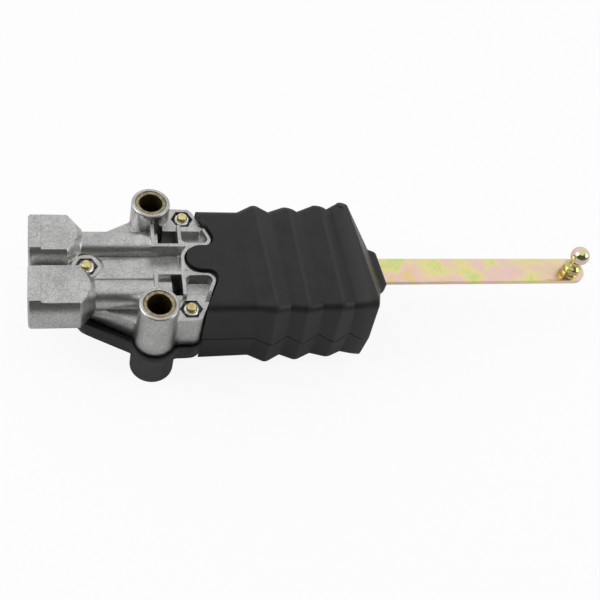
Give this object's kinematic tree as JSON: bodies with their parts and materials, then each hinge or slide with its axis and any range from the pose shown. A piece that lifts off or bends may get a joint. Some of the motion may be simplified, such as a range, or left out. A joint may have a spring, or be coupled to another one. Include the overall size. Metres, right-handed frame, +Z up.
{
  "type": "leveling valve",
  "caption": "Air suspension leveling valve: die-cast body with two air ports, moulded cover, rubber bellows boot and a swinging lever with a ball stud.",
  "frame": {"origin": "midway between the two mounting holes, in the plane of their lower ends", "axes": "+X towards the lever's ball stud, +Y across the valve from one mounting hole to the other, +Z up along the mounting holes"},
  "size_m": [0.2339, 0.0666, 0.0455],
  "materials": {
    "cast_aluminium": "as cast, matt grey",
    "cover_plastic": "moulded black",
    "gasket_rubber": "matt black",
    "bush_steel": "drawn tube, dull",
    "plated_screws": "yellow zinc plated",
    "zinc_nuts": "bright zinc plated",
    "boot_rubber": "moulded, matt black",
    "plated_lever": "yellow zinc plated sheet",
    "plated_stud": "yellow zinc plated, polished",
    "shaft_steel": "ground",
    "spring_steel": "drawn wire",
    "bearing_brass": "machined"
  },
  "bodies": {
    "root": {"valve_body": "cast_aluminium", "lower_cover": "cover_plastic", "cover_gasket": "gasket_rubber", "mount_bush_front": "bush_steel", "mount_bush_back": "bush_steel", "cover_screws": "plated_screws", "cover_nuts": "zinc_nuts", "boot": "boot_rubber", "bearing_top": "bearing_brass", "bearing_bottom": "bearing_brass", "shaft_plug": "cover_plastic", "valve_sleeve": "bearing_brass", "sleeve_seals": "gasket_rubber", "sleeve_circlip": "spring_steel", "supply_strainer": "bearing_brass", "delivery_strainer": "bearing_brass", "check_spring": "spring_steel", "check_guide": "bearing_brass", "delivery_choke": "bearing_brass"},
    "lever_body": {"lever": "plated_lever", "ball_stud": "plated_stud", "pivot_shaft": "shaft_steel", "lever_lock_ring": "shaft_steel", "crank_disc": "shaft_steel", "crank_pin": "shaft_steel", "return_spring": "spring_steel"},
    "spool_body": {"valve_spool": "shaft_steel", "spool_seals": "gasket_rubber"},
    "check_body": {"check_poppet": "bearing_brass"}
  },
  "joints": [
    {"name": "lever_swing", "type": "hinge", "parent": "root", "child": "lever_body", "pos_m": [0.0295, 0, 0.0285], "axis": [0, 0, 1], "range_deg": [-22, 22], "stiffness_Nm_per_rad": 0.05, "deforming": ["boot"]},
    {"name": "spool_slide", "type": "slide", "parent": "root", "child": "spool_body", "axis": [1, 0, 0], "range_m": [-0.0016, 0.0016]},
    {"name": "check_valve_slide", "type": "slide", "parent": "root", "child": "check_body", "axis": [1, 0, 0], "range_m": [0, 0.0016], "stiffness_N_per_m": 400, "springref_m": -0.001, "deforming": ["check_spring"]}
  ],
  "couplings": [
    {"joint": "spool_slide", "follows": "lever_swing", "m_per_rad": -0.004}
  ]
}
